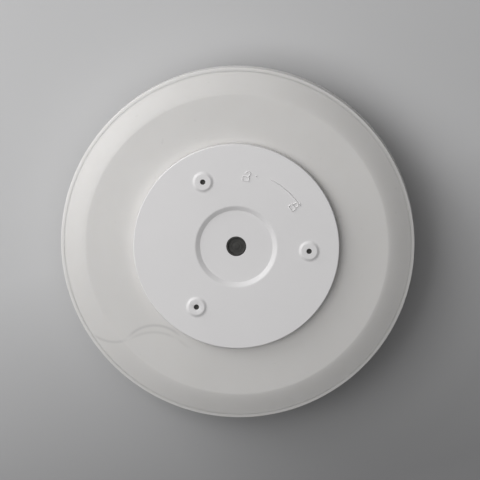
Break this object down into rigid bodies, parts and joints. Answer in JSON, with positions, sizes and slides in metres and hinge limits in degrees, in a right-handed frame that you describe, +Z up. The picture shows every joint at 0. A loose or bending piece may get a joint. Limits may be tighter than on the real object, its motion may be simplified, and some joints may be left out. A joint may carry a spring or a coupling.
{
  "type": "ceiling light",
  "caption": "Round surface-mounted LED ceiling light: milky twist-off diffuser held on a stamped steel back plate with screw bosses and a central cable recess.",
  "frame": {"origin": "centre of the ceiling mounting plane, which the tops of the screw bosses touch", "axes": "+Z up towards the ceiling along the lamp's axis; +X through the first screw boss"},
  "size_m": [0.35, 0.35, 0.08],
  "materials": {
    "white_paint": "white powder coat, satin",
    "milky_diffuser": "opal acrylic, satin gloss",
    "black_rubber": "matt moulded rubber",
    "white_foam": "closed-cell foam",
    "led_board": "white solder mask on aluminium",
    "clear_lens": "clear moulded lens",
    "white_plastic": "fine moulded texture",
    "grey_plastic": "fine moulded texture",
    "orange_plastic": "smooth",
    "zinc_steel": "bright zinc plate",
    "brass": "plain brass",
    "green_board": "green solder mask",
    "ferrite": "sintered ferrite",
    "coil_tape": "polyester tape",
    "can_sleeve": "shrink sleeve",
    "film_box": "smooth box",
    "copper_wire": "enamelled copper wire",
    "black_epoxy": "moulded epoxy",
    "fuse_glass": "clear tube with plated caps",
    "heat_sink_metal": "extruded, plain",
    "lead_red": "wire insulation",
    "lead_black": "wire insulation",
    "lead_brown": "wire insulation",
    "lead_blue": "wire insulation",
    "lead_green": "wire insulation"
  },
  "bodies": {
    "chassis": {"chassis_plate": "white_paint", "cable_grommet": "black_rubber", "screw_seal_1": "black_rubber", "screw_seal_2": "black_rubber", "screw_seal_3": "black_rubber", "gear_tray": "white_paint", "foam_gasket": "white_foam", "led_board_1": "led_board", "led_board_2": "led_board", "led_board_3": "led_board", "lens_cover_1": "clear_lens", "lens_cover_2": "clear_lens", "lens_cover_3": "clear_lens", "board_screw_1": "zinc_steel", "board_screw_2": "zinc_steel", "board_screw_3": "zinc_steel", "board_screw_4": "zinc_steel", "board_screw_5": "zinc_steel", "board_screw_6": "zinc_steel", "board_connector_1": "white_plastic", "board_connector_2": "white_plastic", "board_connector_3": "white_plastic", "board_connector_4": "white_plastic", "board_connector_5": "white_plastic", "jumper_lead_1": "lead_red", "jumper_lead_2": "lead_red", "driver_base": "white_plastic", "driver_cover": "white_plastic", "cover_screw_1": "zinc_steel", "cover_screw_2": "zinc_steel", "lid_hinge_pin": "zinc_steel", "terminal_block": "grey_plastic", "cord_clamp": "grey_plastic", "cord_clamp_screw_1": "zinc_steel", "cord_clamp_screw_2": "zinc_steel", "driver_board": "green_board", "transformer_core": "ferrite", "transformer_coil": "coil_tape", "bulk_capacitor": "can_sleeve", "output_capacitor": "can_sleeve", "film_capacitor": "film_box", "filter_choke": "copper_wire", "bridge_rectifier": "black_epoxy", "fuse": "fuse_glass", "power_transistor": "black_epoxy", "heat_sink": "heat_sink_metal", "output_connector": "white_plastic", "led_lead_positive": "lead_red", "led_lead_negative": "lead_black", "lead_live": "lead_brown", "lead_neutral": "lead_blue", "earth_lead": "lead_green", "earth_ring_tag": "brass", "earth_screw": "brass"},
    "diffuser": {"diffuser_rear_shell": "milky_diffuser", "diffuser_front_dome": "milky_diffuser"},
    "terminal_lid": {"terminal_lid": "white_plastic"},
    "button_live": {"terminal_button_live": "orange_plastic"},
    "button_neutral": {"terminal_button_neutral": "orange_plastic"},
    "button_earth": {"terminal_button_earth": "orange_plastic"}
  },
  "joints": [
    {"name": "diffuser_twist", "type": "hinge", "parent": "chassis", "child": "diffuser", "pos_m": [0, 0, -0.012], "axis": [0, 0, 1], "range_deg": [0, 30]},
    {"name": "lid_hinge", "type": "hinge", "parent": "chassis", "child": "terminal_lid", "pos_m": [0, 0.036, -0.048], "axis": [1, 0, 0], "range_deg": [0, 100]},
    {"name": "button_live_press", "type": "slide", "parent": "chassis", "child": "button_live", "axis": [0, 0, 1], "range_m": [0, 0.0016], "stiffness_N_per_m": 800},
    {"name": "button_neutral_press", "type": "slide", "parent": "chassis", "child": "button_neutral", "axis": [0, 0, 1], "range_m": [0, 0.0016], "stiffness_N_per_m": 800},
    {"name": "button_earth_press", "type": "slide", "parent": "chassis", "child": "button_earth", "axis": [0, 0, 1], "range_m": [0, 0.0016], "stiffness_N_per_m": 800}
  ]
}
